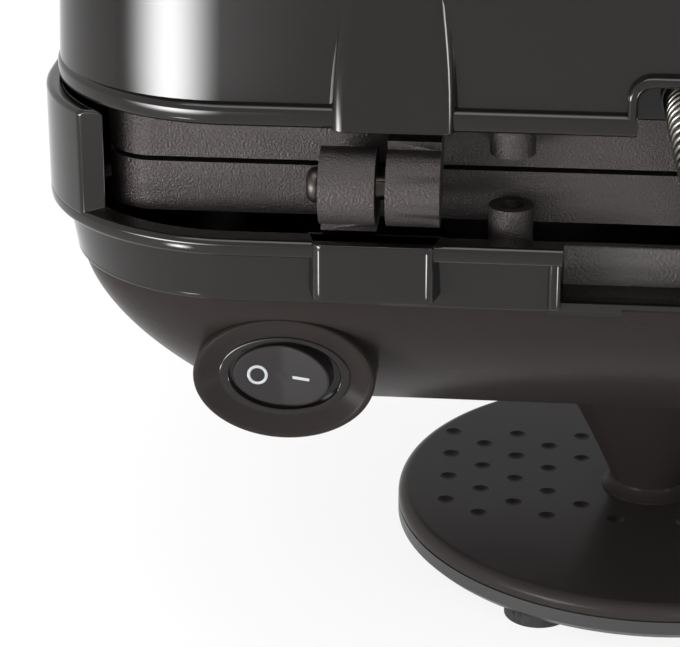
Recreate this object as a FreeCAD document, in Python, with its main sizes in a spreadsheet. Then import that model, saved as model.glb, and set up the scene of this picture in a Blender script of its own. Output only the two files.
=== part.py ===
import FreeCAD, Part
import math
import os

V = FreeCAD.Vector
X_AXIS, Y_AXIS, Z_AXIS = V(1, 0, 0), V(0, 1, 0), V(0, 0, 1)
ORIGIN = V(0, 0, 0)

# A donut maker: two hinged housings with cast plates between them, on a round pedestal base.
# The front, with the handles, faces -Y. The hinge faces +Y. Z is up from the table.

# Driving dimensions, in millimetres and degrees.
DRIVING = {
    # Outline of the housings, seen from above
    "body_half_width": 124.0,
    "body_front": 104.0,
    "body_rear": 106.0,
    "corner_radius": 38.0,
    "shell_wall": 2.6,
    # The parting plane above the table, and the levels above or below that plane
    "parting_height": 123.0,
    "belly_floor": -57.0,
    "band_bottom": -24.0,
    "band_top": -13.5,
    "lip_top": -10.0,
    "collar_top": 10.4,
    "lid_rim": 11.4,
    "lid_top": 63.0,
    "recess_floor": -22.4,
    "switch_z": -41.5,
    "gland_z": -33.0,
    # Places in front of the rear of the body
    "plate_rear": -14.0,
    "recess_back": -12.0,
    "rear_cut": -10.5,
    "lug_y": -9.4,
    "switch_face": -4.5,
    "hinge_y": -2.0,
    # Heights of single parts
    "plate_gap": 1.0,
    "lid_lip_height": 4.2,
    "lid_edge_round": 22.0,
    "lid_draft_inset": 1.6,
    # Steps of the outline
    "lip_overhang": 2.5,
    "lid_wall_inset": 2.0,
    "band_inset": 0.8,
    "belly_inset": 2.5,
    "belly_floor_inset": 32.0,
    "collar_wall": 3.5,
    # Base
    "foot_height": 3.0,
    "foot_radius": 7.5,
    "foot_circle": 51.0,
    "base_radius": 60.0,
    "tray_height": 4.5,
    "cover_height": 3.7,
    "cover_round": 2.6,
    "neck_foot_radius": 9.0,
    "neck_waist_radius": 17.0,
    "neck_top_radius": 37.0,
    "neck_wall": 4.0,
    "bolt_radius": 4.0,
    # Cast plates
    "plate_side_gap": 12.0,
    "plate_front_gap": 8.0,
    "plate_corner": 10.0,
    "plate_thickness": 10.0,
    "ring_radius": 20.0,
    "ring_tube": 12.5,
    "ring_boss_radius": 35.0,
    "ring_boss_height": 5.5,
    "ring_pitch_x": 72.0,
    "ring_pitch_y": 76.0,
    "ring_centre_y": -2.0,
    "ring_margin": 7.0,
    "leg_radius": 5.0,
    "leg_inset": 20.0,
    "leg_y": 72.0,
    "leg_height": 13.7,
    "heater_radius": 3.25,
    "reflector_sheet": 0.8,
    "screw_radius": 2.0,
    "screw_head_radius": 4.0,
    "screw_head_height": 3.0,
    # Hinge
    "knuckle_radius": 7.3,
    "knuckle_outer_start": 58.0,
    "knuckle_outer_width": 10.5,
    "knuckle_inner_start": 46.0,
    "knuckle_inner_width": 10.0,
    "pin_radius": 2.5,
    "pin_head_radius": 3.4,
    "pin_head_height": 2.6,
    "lug_x": 33.0,
    "lug_radius": 4.3,
    # Conduit between the halves
    "conduit_radius": 4.5,
    "conduit_top_x": 1.0,
    "conduit_low_x": -9.0,
    "notch_half_width": 10.3,
    "notch_height": 9.6,
    "recess_half_width": 23.0,
    # Switch
    "switch_inset": 47.8,
    "switch_boss_a": 17.9,
    "switch_boss_b": 12.8,
    "switch_dish_depth": 2.0,
    "switch_pocket_a": 10.9,
    "switch_pocket_b": 7.1,
    "rocker_a": 9.9,
    "rocker_b": 6.5,
    "rocker_tilt": 8.0,
    # Handles and latch
    "handle_half_width": 36.0,
    "handle_reach": 34.0,
    "handle_thickness": 15.0,
    "latch_half_width": 12.6,
    "latch_release": 20.0,
    # Fits
    "running_fit": 0.05,
    "loose_fit": 0.3,
}

doc = FreeCAD.newDocument("DonutMaker")
sheet = doc.addObject("Spreadsheet::Sheet", "Dimensions")
for row, (alias, number) in enumerate(DRIVING.items(), start=1):
    sheet.set("A%d" % row, alias)
    sheet.set("B%d" % row, str(number))
    sheet.setAlias("B%d" % row, alias)
doc.recompute()


def dim(alias):
    return float(sheet.get(alias))


def level(alias):
    """The height above the table of a level that is given from the parting plane."""
    return dim("parting_height") + dim(alias)


def rear(alias):
    """The Y of a place that is given from the rear of the body."""
    return dim("body_rear") + dim(alias)


# Values that follow from the driving dimensions
half_width = dim("body_half_width")
wall = dim("shell_wall")
fit = dim("loose_fit")
run = dim("running_fit")
parting = dim("parting_height")
tray_bottom = dim("foot_height")
tray_top = tray_bottom + dim("tray_height")
cover_top = tray_top + dim("cover_height")
plate_half = half_width - dim("plate_side_gap")
plate_front = dim("body_front") - dim("plate_front_gap")
leg_x = plate_half - dim("leg_inset")
switch_x = half_width - dim("switch_inset")
floor_inside = level("belly_floor") + wall + 0.4
lower_face = parting - dim("plate_gap") / 2
upper_face = parting + dim("plate_gap") / 2
lower_back = lower_face - dim("plate_thickness")
upper_back = upper_face + dim("plate_thickness")
leg_drop = dim("plate_thickness") + dim("leg_height") + 0.8
lower_leg_end = lower_face - leg_drop
upper_leg_end = upper_face + leg_drop
reflector = dim("reflector_sheet")
lip_front = -(dim("body_front") + dim("lip_overhang"))
lip_rear = dim("body_rear") + dim("lip_overhang")
SIDES = (1, -1)
LEGS = [(sx * leg_x, sy * dim("leg_y")) for sx in SIDES for sy in SIDES]
ring_outer = dim("ring_radius") + dim("ring_tube")
ring_columns = 1 + int(2 * (plate_half - dim("ring_margin") - ring_outer) / dim("ring_pitch_x"))
COLUMNS = [(k - (ring_columns - 1) / 2) * dim("ring_pitch_x") for k in range(ring_columns)]
ROWS = [dim("ring_centre_y") + side * dim("ring_pitch_y") / 2 for side in SIDES]
RINGS = [(x, y) for x in COLUMNS for y in ROWS]


def box(x0, x1, y0, y1, z0, z1):
    return Part.makeBox(x1 - x0, y1 - y0, z1 - z0, V(x0, y0, z0))


def disc(radius, x, y, z0, z1):
    return Part.makeCylinder(radius, z1 - z0, V(x, y, z0), Z_AXIS)


def rod(radius, x0, x1, y, z):
    return Part.makeCylinder(radius, x1 - x0, V(x0, y, z), X_AXIS)


def rounded_wire(x_half, y_front, y_rear, radius, z):
    """A rounded rectangle, centred on X, at height z."""
    corners = [
        (x_half, y_rear, 0), (-x_half, y_rear, 90), (-x_half, y_front, 180), (x_half, y_front, 270),
    ]
    arcs = []
    for x, y, start in corners:
        centre = V(x - math.copysign(radius, x), y - math.copysign(radius, y - (y_front + y_rear) / 2), z)
        circle = Part.Circle(centre, Z_AXIS, radius)
        arcs.append(Part.Arc(circle, math.radians(start), math.radians(start + 90)).toShape())
    edges = []
    for index, arc in enumerate(arcs):
        following = arcs[(index + 1) % len(arcs)]
        edges.append(arc)
        edges.append(Part.LineSegment(arc.Vertexes[-1].Point, following.Vertexes[0].Point).toShape())
    return Part.Wire(Part.__sortEdges__(edges))


def outline(inset, z):
    """The housings' outline moved inwards by inset, at height z."""
    return rounded_wire(
        half_width - inset, inset - dim("body_front"), dim("body_rear") - inset,
        dim("corner_radius") - inset, z,
    )


def prism(wire, height):
    return Part.Face(wire).extrude(V(0, 0, height))


def loft(wires, ruled=False):
    return Part.makeLoft(wires, True, ruled)


def oval(a, b, y0, y1):
    """An oval bar along Y at the switch's place, a wide in X and b high in Z, as half sizes."""
    wire = Part.Wire([Part.Ellipse(ORIGIN, a, b).toShape()])
    bar = Part.Face(wire).extrude(V(0, 0, y1 - y0))
    bar.rotate(ORIGIN, X_AXIS, 90)
    bar.translate(V(switch_x, y1, level("switch_z")))
    return bar


def oval_dish(a0, b0, y0, a1, b1, y1):
    """A tapered oval between two depths."""
    wires = []
    for a, b, y in ((a0, b0, y0), (a1, b1, y1)):
        wire = Part.Wire([Part.Ellipse(ORIGIN, a, b).toShape()])
        wire.rotate(ORIGIN, X_AXIS, 90)
        wire.translate(V(switch_x, y, level("switch_z")))
        wires.append(wire)
    return loft(wires, True)


def polygon_prism(points, z0, z1):
    """A prism between heights, on a polygon of (x, y) points."""
    wire = Part.makePolygon([V(x, y, z0) for x, y in points + points[:1]])
    return prism(wire, z1 - z0)


def union(shapes):
    return shapes[0].multiFuse(shapes[1:]).removeSplitter()


def level_edges(shape, z):
    """The edges of a shape that lie at one height."""
    return [e for e in shape.Edges if abs(e.BoundBox.ZMin - z) < 1e-4 and abs(e.BoundBox.ZMax - z) < 1e-4]


def piece(label, shape):
    """A sub-part of the document from a finished shape."""
    feature = doc.addObject("Part::Feature", label)
    feature.Shape = Part.makeCompound(shape.Solids)
    feature.Label = label
    return feature


def group(label, shapes):
    return piece(label, Part.makeCompound(shapes))


def bound(kind, name, **expressions):
    """A Part primitive whose sizes are bound to the sheet."""
    primitive = doc.addObject("Part::" + kind, name)
    for prop, expression in expressions.items():
        primitive.setExpression(prop.replace("_", "."), expression)
    return primitive


def revolved_body(label, profile):
    """A PartDesign body turned about Z from a closed (radius, height) profile."""
    body = doc.addObject("PartDesign::Body", label + "_body")
    body.Label = label
    sketch = body.newObject("Sketcher::SketchObject", label + "_profile")
    plane = [f for f in body.Origin.OriginFeatures if f.Role == "XZ_Plane"][0]
    sketch.AttachmentSupport = [(plane, "")]
    sketch.MapMode = "FlatFace"
    for (r0, z0), (r1, z1) in zip(profile, profile[1:] + profile[:1]):
        sketch.addGeometry(Part.LineSegment(V(r0, z0, 0), V(r1, z1, 0)), False)
    turn = body.newObject("PartDesign::Revolution", label + "_turn")
    turn.Profile = sketch
    turn.ReferenceAxis = (sketch, ["V_Axis"])
    turn.Angle = 360
    body.Tip = turn
    return body


# Base
def rubber_feet():
    feet = []
    for number, angle in enumerate((60, 120, 240, 300), start=1):
        foot = bound(
            "Cylinder", "foot_%d" % number,
            Radius="Dimensions.foot_radius", Height="Dimensions.foot_height",
        )
        reach = dim("foot_circle")
        spot = V(reach * math.cos(math.radians(angle)), reach * math.sin(math.radians(angle)), 0)
        foot.Placement = FreeCAD.Placement(spot, FreeCAD.Rotation())
        feet.append(foot)
    compound = doc.addObject("Part::Compound", "rubber_feet")
    compound.Links = feet
    return compound


def base_tray():
    radius, hole = dim("base_radius"), dim("bolt_radius") + fit
    head_room, head_radius = tray_bottom + 2.6, 2 * dim("bolt_radius") + 1.0
    edge = 1.5
    return revolved_body("base_tray", [
        (head_radius, tray_bottom), (radius - edge, tray_bottom), (radius, tray_bottom + edge),
        (radius, tray_top), (hole, tray_top), (hole, head_room), (head_radius, head_room),
    ])


def base_cover():
    radius, groove, edge = dim("base_radius"), 0.5, dim("cover_round")
    hole, waist = dim("bolt_radius") + fit, 0.3
    return revolved_body("base_cover", [
        (hole, tray_top), (radius - groove, tray_top), (radius - groove, tray_top + groove),
        (radius, tray_top + groove), (radius, cover_top - edge), (radius - waist * edge, cover_top - waist * edge),
        (radius - edge, cover_top), (hole, cover_top),
    ])


def pedestal_neck():
    foot, waist, top = dim("neck_foot_radius"), dim("neck_waist_radius"), dim("neck_top_radius")
    z0, z1 = cover_top, level("belly_floor")
    z_waist, rim = z0 + 0.36 * (z1 - z0), 3.0
    bore = dim("bolt_radius") + 2 * fit
    return revolved_body("pedestal_neck", [
        (bore, z0), (foot + 2, z0), (foot, z0 + rim), (0.55 * foot + 0.45 * waist, (z0 + rim + z_waist) / 2),
        (waist, z_waist), (0.53 * waist + 0.47 * top, (z_waist + z1 - rim) / 2), (top, z1 - rim), (top, z1),
        (top - dim("neck_wall"), z1), (bore, z_waist),
    ])


def hexagon(across_corners, z0, z1):
    points = [
        (across_corners * math.cos(math.radians(60 * k)), across_corners * math.sin(math.radians(60 * k)))
        for k in range(6)
    ]
    return polygon_prism(points, z0, z1)


def pedestal_bolt():
    seat = tray_bottom + 2.6
    shank = disc(dim("bolt_radius"), 0, 0, seat, floor_inside + 9)
    return piece("pedestal_bolt", union([shank, hexagon(2 * dim("bolt_radius"), seat - 3, seat)]))


def pedestal_nut():
    nut = hexagon(2 * dim("bolt_radius"), floor_inside, floor_inside + 6)
    hole = disc(dim("bolt_radius") + run, 0, 0, floor_inside - 1, floor_inside + 7)
    return piece("pedestal_nut", nut.cut(hole))


# Lower housing
BELLY_LEVELS = 4
BELLY_CURVE = 1.6


def belly_steps():
    """Shares of the bowl's depth with the share of its inset at each."""
    return [(k / BELLY_LEVELS, (k / BELLY_LEVELS) ** BELLY_CURVE) for k in range(BELLY_LEVELS + 1)]


def belly(extra_inset, extra_floor):
    """The bowl below the band, moved inwards by extra_inset and raised by extra_floor at the bottom."""
    depth = level("band_bottom") - level("belly_floor") - extra_floor
    spread = dim("belly_floor_inset") - dim("belly_inset")
    wires = [
        outline(dim("belly_inset") + extra_inset + s * (spread - 0.7 * extra_inset), level("band_bottom") - t * depth)
        for t, s in belly_steps()
    ]
    return loft(wires, True)


def hinge_pad_span():
    """The X range of one hinge, outer knuckle and inner knuckle together."""
    return dim("knuckle_inner_start"), dim("knuckle_outer_start") + dim("knuckle_outer_width")


def lower_outer():
    band_top, band_bottom = level("band_top"), level("band_bottom")
    band = loft([outline(dim("band_inset"), band_top), outline(dim("belly_inset"), band_bottom)], True)
    lip = prism(outline(-dim("lip_overhang"), band_top), level("lip_top") - band_top)
    lip = lip.makeFillet(1.2, level_edges(lip, band_top))
    pieces = [belly(0, 0), band, lip]
    x0, x1 = hinge_pad_span()
    face, back, slope = lip_rear + 1.0, lip_rear - 6, 1.8
    for side in SIDES:
        points = [(x0 - slope, back), (x0 + 1.2, face), (x1 + 1.0, face), (x1 + slope + 1.0, back)]
        pad = [(side * x, y) for x, y in points]
        pieces.append(polygon_prism(pad, band_bottom + 2.5, level("lip_top")))
    return union(pieces)


def lower_collar():
    """The upright surround on the lip, open at the rear for the hinge."""
    lip_top, top = level("lip_top"), level("collar_top")
    solid = prism(outline(-dim("lip_overhang"), lip_top), top - lip_top)
    solid = solid.makeFillet(1.2, level_edges(solid, top))
    room = prism(outline(dim("collar_wall") - dim("lip_overhang"), lip_top - 1), top - lip_top + 2)
    reach = half_width + 20
    gap = box(-reach, reach, rear("rear_cut"), lip_rear + 5, lip_top - 1, top + 1)
    return piece("lower_collar", solid.cut(room).cut(gap))


def lower_shell():
    band_bottom, lip_top = level("band_bottom"), level("lip_top")
    outer = lower_outer()
    reach = half_width + 20
    hollow = [
        prism(outline(dim("collar_wall") - dim("lip_overhang"), lip_top - 2), 4),
        loft([outline(dim("band_inset") + wall, lip_top), outline(dim("belly_inset") + wall, band_bottom)], True),
        belly(wall, floor_inside - level("belly_floor")),
    ]
    shell = outer.cut(hollow[0].multiFuse(hollow[1:]))

    # Rear shelf under the hinge, with the recess where the conduit enters
    shelf_top, shelf = band_bottom + 9.5, 2.5
    inside = prism(outline(dim("band_inset") + 0.5, band_bottom + 1), lip_top - band_bottom)
    seat = [box(-reach, reach, rear("plate_rear") + 1.5, lip_rear, shelf_top - shelf, shelf_top).common(inside)]
    half, back = dim("recess_half_width"), rear("recess_back")
    floor = level("recess_floor")
    block = box(-half - wall, half + wall, back - wall, lip_rear, floor - wall, shelf_top)
    seat.append(block.common(loft([outline(dim("belly_inset") + 0.2, floor - wall), outline(
        dim("band_inset") + 0.2, shelf_top)], True)))
    for side in SIDES:
        seat.append(disc(dim("lug_radius") + 1.4, side * dim("lug_x"), rear("lug_y"), shelf_top - 1, shelf_top + 1.8))

    # Screw posts for the plate and the reflector
    post_top = lower_leg_end - reflector
    bowl = belly(0, 0)
    for x, y in LEGS:
        seat.append(disc(dim("screw_head_radius") + 3, x, y, level("belly_floor"), post_top).common(bowl.fuse(
            prism(outline(dim("belly_inset") + 0.5, band_bottom), 5))))

    # Oval boss of the switch
    boss_a, boss_b, face = dim("switch_boss_a"), dim("switch_boss_b"), rear("switch_face")
    boss = oval(boss_a, boss_b, face - 26, face)
    boss = boss.makeFillet(1.2, [e for e in boss.Edges if abs(e.BoundBox.YMin - face) < 1e-4
                                 and abs(e.BoundBox.YMax - face) < 1e-4])
    shell = shell.multiFuse(seat + [boss])

    cuts = [box(-half, half, back, lip_rear + 5, floor, lip_top + 5)]
    cuts.append(oval(boss_a - 3, boss_b - 3, face - 45, face - 7.5))
    dish = dim("switch_dish_depth")
    cuts.append(oval_dish(boss_a - 2.3, boss_b - 1.9, face, boss_a - 4.6, boss_b - 4.2, face - dish))
    cuts.append(oval(dim("switch_pocket_a") + 0.7 + fit / 2, dim("switch_pocket_b") + 0.6 + fit / 2, face - 9, face))
    for x, y in LEGS:
        bottom = level("belly_floor")
        cuts.append(disc(dim("screw_head_radius") + fit, x, y, bottom - 5, bottom + 8))
        cuts.append(disc(dim("screw_radius") + fit, x, y, bottom, post_top + 1))
    cuts.append(disc(dim("bolt_radius") + fit, 0, 0, level("belly_floor") - 1, floor_inside + 1))
    cuts.append(Part.makeCylinder(GLAND_RADIUS + run, 25, V(GLAND_X, back - 5, GLAND_Z), Y_AXIS))
    cuts.append(Part.makeCylinder(GLAND_FLANGE + fit, 34, V(GLAND_X, GLAND_START - 34, GLAND_Z), Y_AXIS))
    cuts.append(Part.makeCylinder(2.6, 10, V(dim("conduit_low_x"), back - 5, CONDUIT_LOW_Z), Y_AXIS))
    vent_inset = 30.0
    for side in SIDES:
        for step in range(-2, 3):
            y = 11.0 * step
            slot = box(-17, 17, y - 2, y + 2, level("belly_floor") - 1, floor_inside + 1)
            slot.translate(V(side * (half_width - dim("belly_floor_inset") - vent_inset), 0, 0))
            cuts.append(slot)
    return piece("lower_shell", shell.cut(Part.makeCompound(cuts)).removeSplitter())


GLAND_X, GLAND_RADIUS, GLAND_FLANGE = -16.0, 7.0, 8.5
GLAND_Z, GLAND_START = level("gland_z"), rear("recess_back")
CONDUIT_LOW_Z = level("recess_floor") + dim("conduit_radius") + 0.5
CONDUIT_TOP_Z = level("lid_rim") + dim("notch_height") - dim("conduit_radius") - 0.6


def cord_gland():
    """The bush in the rear of the housing where the mains lead comes out."""
    end, flange_depth = dim("body_rear") - 3.0, 1.5
    tube = Part.makeCylinder(GLAND_RADIUS, end - GLAND_START, V(GLAND_X, GLAND_START, GLAND_Z), Y_AXIS)
    back = V(GLAND_X, GLAND_START - flange_depth, GLAND_Z)
    flange = Part.makeCylinder(GLAND_FLANGE, flange_depth, back, Y_AXIS)
    bore = Part.makeCylinder(3.6, 30, V(GLAND_X, GLAND_START - 5, GLAND_Z), Y_AXIS)
    return piece("cord_gland", tube.fuse(flange).cut(bore).removeSplitter())


# Cast plates
MOULD_ANGLES = (0, 36, 72, 108, 144, 180)


def ring_mould(x, y, face, direction):
    """The ring-shaped hollow of one donut, as a half-round groove in straight runs."""
    middle, tube = dim("ring_radius"), dim("ring_tube")
    arc = [
        V(middle + tube * math.cos(math.radians(a)), 0, direction * tube * math.sin(math.radians(a)))
        for a in MOULD_ANGLES
    ]
    mouth = [V(arc[-1].x, 0, -direction), V(arc[0].x, 0, -direction)]
    profile = Part.Face(Part.makePolygon(arc + mouth + arc[:1]))
    groove = profile.revolve(ORIGIN, Z_AXIS, 360)
    groove.translate(V(x, y, face))
    return groove


def cast_plate(face, back, direction):
    """The slab, ring moulds and legs of a plate. direction is -1 for the lower plate and 1 for the upper one."""
    low, high = sorted((face, back))
    slab_wire = rounded_wire(
        plate_half, -plate_front, rear("plate_rear"), dim("plate_corner"), low)
    solids = [prism(slab_wire, high - low)]
    boss_end = back + direction * dim("ring_boss_height")
    leg_end = face + direction * leg_drop
    for x, y in RINGS:
        solids.append(disc(dim("ring_boss_radius"), x, y, min(back, boss_end), max(back, boss_end)))
    for x, y in LEGS:
        solids.append(disc(dim("leg_radius"), x, y, min(back, leg_end), max(back, leg_end)))
    return union(solids), [ring_mould(x, y, face, direction) for x, y in RINGS]


def knuckle(start, width, side, z0, z1):
    """A hinge knuckle with the arm that carries it, for the side of X given."""
    x0, x1 = sorted((side * start, side * (start + width)))
    barrel = rod(dim("knuckle_radius"), x0, x1, rear("hinge_y"), parting)
    arm = box(x0, x1, rear("plate_rear") - 3, rear("hinge_y"), z0, z1)
    return barrel.fuse(arm)


def hinge_bores():
    """The two bores of the hinge, closed at their inner ends."""
    inner = dim("knuckle_inner_start") + 1.0
    outer = dim("knuckle_outer_start") + dim("knuckle_outer_width") + 5
    spans = [sorted((side * inner, side * outer)) for side in SIDES]
    return [rod(dim("pin_radius") + run, x0, x1, rear("hinge_y"), parting) for x0, x1 in spans]


def lug(side, z0, z1, web0, web1):
    """A cast screw lug behind the plate."""
    x, y, radius = side * dim("lug_x"), rear("lug_y"), dim("lug_radius")
    web = box(x - radius + 0.8, x + radius - 0.8, rear("plate_rear") - 2, y, web0, web1)
    return disc(radius, x, y, z0, z1).fuse(web)


def lower_plate():
    plate, cuts = cast_plate(lower_face, lower_back, -1)
    solids = [plate]
    shelf_top = level("band_bottom") + 9.5
    lug_top = lower_face - 5
    for side in SIDES:
        solids.append(knuckle(
            dim("knuckle_outer_start"), dim("knuckle_outer_width"), side, lower_back + 1.5, lower_face - 0.5))
        solids.append(lug(side, shelf_top + 2.0, lug_top, lower_back, lug_top - 1.5))
        cuts.append(disc(2.4, side * dim("lug_x"), rear("lug_y"), lug_top - 5, lug_top + 1))
    for x, y in LEGS:
        cuts.append(disc(dim("screw_radius") + run, x, y, lower_leg_end - 1, lower_leg_end + 11))
    cuts.extend(hinge_bores())
    return piece("lower_plate", union(solids).cut(Part.makeCompound(cuts)).removeSplitter())


def upper_plate():
    plate, cuts = cast_plate(upper_face, upper_back, 1)
    solids = [plate]
    for side in SIDES:
        solids.append(knuckle(
            dim("knuckle_inner_start"), dim("knuckle_inner_width"), side, upper_face + 0.5, upper_back - 1.5))
        solids.append(lug(side, upper_face + 4.5, upper_back + 6, upper_face + 6, upper_back))
    for x, y in LEGS:
        cuts.append(disc(dim("screw_radius") + fit, x, y, upper_face - 1, upper_leg_end + 1))
        cuts.append(disc(dim("screw_head_radius") + fit, x, y, upper_face - 1, upper_face + dim("screw_head_height")))
    cuts.extend(hinge_bores())
    return piece("upper_plate", union(solids).cut(Part.makeCompound(cuts)).removeSplitter())


def heater(label, z):
    """A tubular heating element: an open loop under the ring moulds, with its two ends at the rear."""
    half_x, radius = COLUMNS[-1], 24.0
    y1, y0 = ROWS
    loop = rounded_wire(half_x, y0, y1, radius, z)
    gap = box(-16, 16, y1 - 5, y1 + 5, z - 9, z + 9)
    start = loop.Vertexes[0].Point
    rail = Part.Wire(Part.__sortEdges__(loop.Edges))
    edge = rail.Edges[0]
    tangent = edge.tangentAt(edge.FirstParameter)
    start = edge.valueAt(edge.FirstParameter)
    section = Part.Wire([Part.Circle(start, tangent, dim("heater_radius")).toShape()])
    tube = rail.makePipeShell([section], True, True)
    return piece(label, tube.cut(gap))


def reflector_sheet(label, z):
    """The thin steel tray behind a heating element, clamped between the legs and the posts."""
    sheet_wire = rounded_wire(leg_x + 8, -(dim("leg_y") + 8), dim("leg_y") + 8, 8, z)
    tray = prism(sheet_wire, reflector)
    holes = [disc(dim("screw_radius") + fit, x, y, z - 1, z + 2) for x, y in LEGS]
    return piece(label, tray.cut(Part.makeCompound(holes)))


def thermostat():
    radius, fuse_room = 8.0, 4.0
    x, y = COLUMNS[-1] - dim("ring_pitch_x") / 2, dim("ring_centre_y") + radius + fuse_room
    can = disc(radius, x, y, lower_back - 7, lower_back).fuse(disc(5, x, y, lower_back - 9.5, lower_back - 7))
    return piece("thermostat", can.removeSplitter())


def thermal_fuse():
    x, y = COLUMNS[0] + dim("ring_pitch_x") / 2, dim("ring_centre_y")
    radius = 2.2
    body = rod(radius, x - 6, x + 6, y, lower_back - radius)
    leads = rod(0.6, x - 12, x + 12, y, lower_back - radius)
    return piece("thermal_fuse", body.fuse(leads).removeSplitter())


def terminal_block():
    y0, half = rear("recess_back") - 48, 18.0
    y1 = y0 + 14
    block = box(-half, half, y0, y1, floor_inside, floor_inside + 11)
    ways = [disc(2.2, 9.0 * way, (y0 + y1) / 2, floor_inside + 4, floor_inside + 12) for way in (-1, 0, 1)]
    return piece("terminal_block", block.cut(Part.makeCompound(ways)))


def plate_screws(label, head_z, tip_z):
    """Four screws; each head lies at head_z and the tip at tip_z."""
    up = 1 if tip_z > head_z else -1
    head_end = head_z + up * dim("screw_head_height")
    screws = []
    for x, y in LEGS:
        head = disc(dim("screw_head_radius"), x, y, min(head_z, head_end), max(head_z, head_end))
        shank = disc(dim("screw_radius"), x, y, min(head_end, tip_z), max(head_end, tip_z))
        drive = box(x - 2.6, x + 2.6, y - 0.5, y + 0.5, head_z - 1.2, head_z + 1.2)
        screws.append(head.fuse(shank).removeSplitter().cut(drive))
    return group(label, screws)


# Upper housing
def lid_outer():
    rim, height = level("lid_rim"), dim("lid_lip_height")
    inset, top = dim("lid_wall_inset"), level("lid_top")
    dome = loft([outline(inset, rim + 1), outline(inset + dim("lid_draft_inset"), top)], True)
    dome = dome.makeFillet(dim("lid_edge_round"), level_edges(dome, top))
    lip = prism(outline(0, rim), height)
    lip = lip.makeFillet(1.3, level_edges(lip, rim) + level_edges(lip, rim + height))
    pieces = [dome, lip]
    x0, x1 = hinge_pad_span()
    middle, half = (x0 + x1) / 2 - 2.3, 9.2
    fade = rim + 31.0
    face, back, slope = dim("body_rear") + 1.3, dim("body_rear") - 8, 1.8
    face_top = dim("body_rear") - inset - dim("lid_draft_inset") * (fade - rim) / (top - rim) + 0.15
    for side in SIDES:
        wires = []
        for z, y, spread, narrow in ((rim, face, slope, 0), (fade, face_top, 0.3, 1.4)):
            near, far = middle - half + narrow, middle + half - narrow
            points = [(near - spread, back), (near, y), (far, y), (far + spread, back)]
            pad = [V(side * x, py, z) for x, py in points]
            wires.append(Part.makePolygon(pad + pad[:1]))
        pieces.append(loft(wires, True))
    return union(pieces)


def upper_shell():
    rim, top = level("lid_rim"), level("lid_top")
    inset = dim("lid_wall_inset") + wall
    outer = lid_outer()
    hollow = loft([outline(inset, rim - 1), outline(inset + dim("lid_draft_inset"), top - wall)], True)
    hollow = hollow.makeFillet(dim("lid_edge_round") - wall, level_edges(hollow, top - wall))
    shell = outer.cut(hollow)
    half, height, back = dim("notch_half_width"), dim("notch_height"), rear("recess_back")
    bodies = [box(-half - wall, half + wall, back - wall, dim("body_rear") - inset + 1, rim, rim + height + wall)]
    ceiling = upper_leg_end + reflector
    for x, y in LEGS:
        bodies.append(disc(dim("leg_radius") + 1.5, x, y, ceiling, top - wall / 2))
    shell = shell.multiFuse(bodies)
    notch = box(-half, half, back, dim("body_rear") + 5, rim - 1, rim + height)
    corners = [e for e in notch.Edges if abs(e.BoundBox.ZMin - rim - height) < 1e-4
               and e.BoundBox.YLength > 1 and e.BoundBox.XLength < 1e-4]
    cuts = [notch.makeFillet(3.0, corners)]
    cuts.append(Part.makeCylinder(2.6, 10, V(dim("conduit_top_x"), back - 5, CONDUIT_TOP_Z), Y_AXIS))
    for x, y in LEGS:
        cuts.append(disc(dim("screw_radius") + run, x, y, ceiling - 1, ceiling + 14))
    for side in SIDES:
        cuts.append(disc(LAMP_RADIUS + run, side * LAMP_X, LAMP_Y, top - 10, top + 1))
    return piece("upper_shell", shell.cut(Part.makeCompound(cuts)).removeSplitter())


LAMP_RADIUS, LAMP_X, LAMP_Y = 4.0, 13.0, -68.0


def lamp(label, side):
    """An indicator lens with a domed head in the top of the lid and a flange inside."""
    top = level("lid_top")
    lens = disc(LAMP_RADIUS, side * LAMP_X, LAMP_Y, top - wall - 2, top + 1.2)
    lens = lens.makeFillet(1.1, level_edges(lens, top + 1.2))
    flange = disc(LAMP_RADIUS + 1.5, side * LAMP_X, LAMP_Y, top - wall - 3.5, top - wall)
    return piece(label, lens.fuse(flange).removeSplitter())


# Hinge and conduit
def hinge_pins():
    pins = []
    outer = dim("knuckle_outer_start") + dim("knuckle_outer_width")
    inner = dim("knuckle_inner_start")
    for side in SIDES:
        x0, x1 = sorted((side * (inner + 1.4), side * outer))
        shank = rod(dim("pin_radius"), x0, x1, rear("hinge_y"), parting)
        h0, h1 = sorted((side * outer, side * (outer + dim("pin_head_height"))))
        head = rod(dim("pin_head_radius"), h0, h1, rear("hinge_y"), parting)
        rim = [e for e in head.Edges if abs(abs(e.BoundBox.XMin) - outer - dim("pin_head_height")) < 1e-4
               and e.BoundBox.XLength < 1e-4]
        pins.append(shank.fuse(head.makeFillet(1.6, rim)).removeSplitter())
    return group("hinge_pins", pins)


def conduit_route():
    """The bowed line of the conduit, from the notch in the lid to the recess below."""
    back, mouth = rear("recess_back") + 0.2, rear("recess_back") + 3.0
    top = V(dim("conduit_top_x"), mouth, CONDUIT_TOP_Z)
    low = V(dim("conduit_low_x"), mouth, CONDUIT_LOW_Z)
    middle = (top + low) * 0.5
    apex = middle + V(0, (top - low).Length / 2, 0)
    edges = [Part.LineSegment(V(top.x, back, top.z), top).toShape(), Part.Arc(top, apex, low).toShape()]
    edges.append(Part.LineSegment(low, V(low.x, back, low.z)).toShape())
    return Part.Wire(edges)


def wire_conduit():
    route = conduit_route()
    start = route.Edges[0].Vertexes[0].Point
    section = Part.Wire([Part.Circle(start, Y_AXIS, dim("conduit_radius")).toShape()])
    return piece("wire_conduit", route.makePipeShell([section], True, True))


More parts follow.
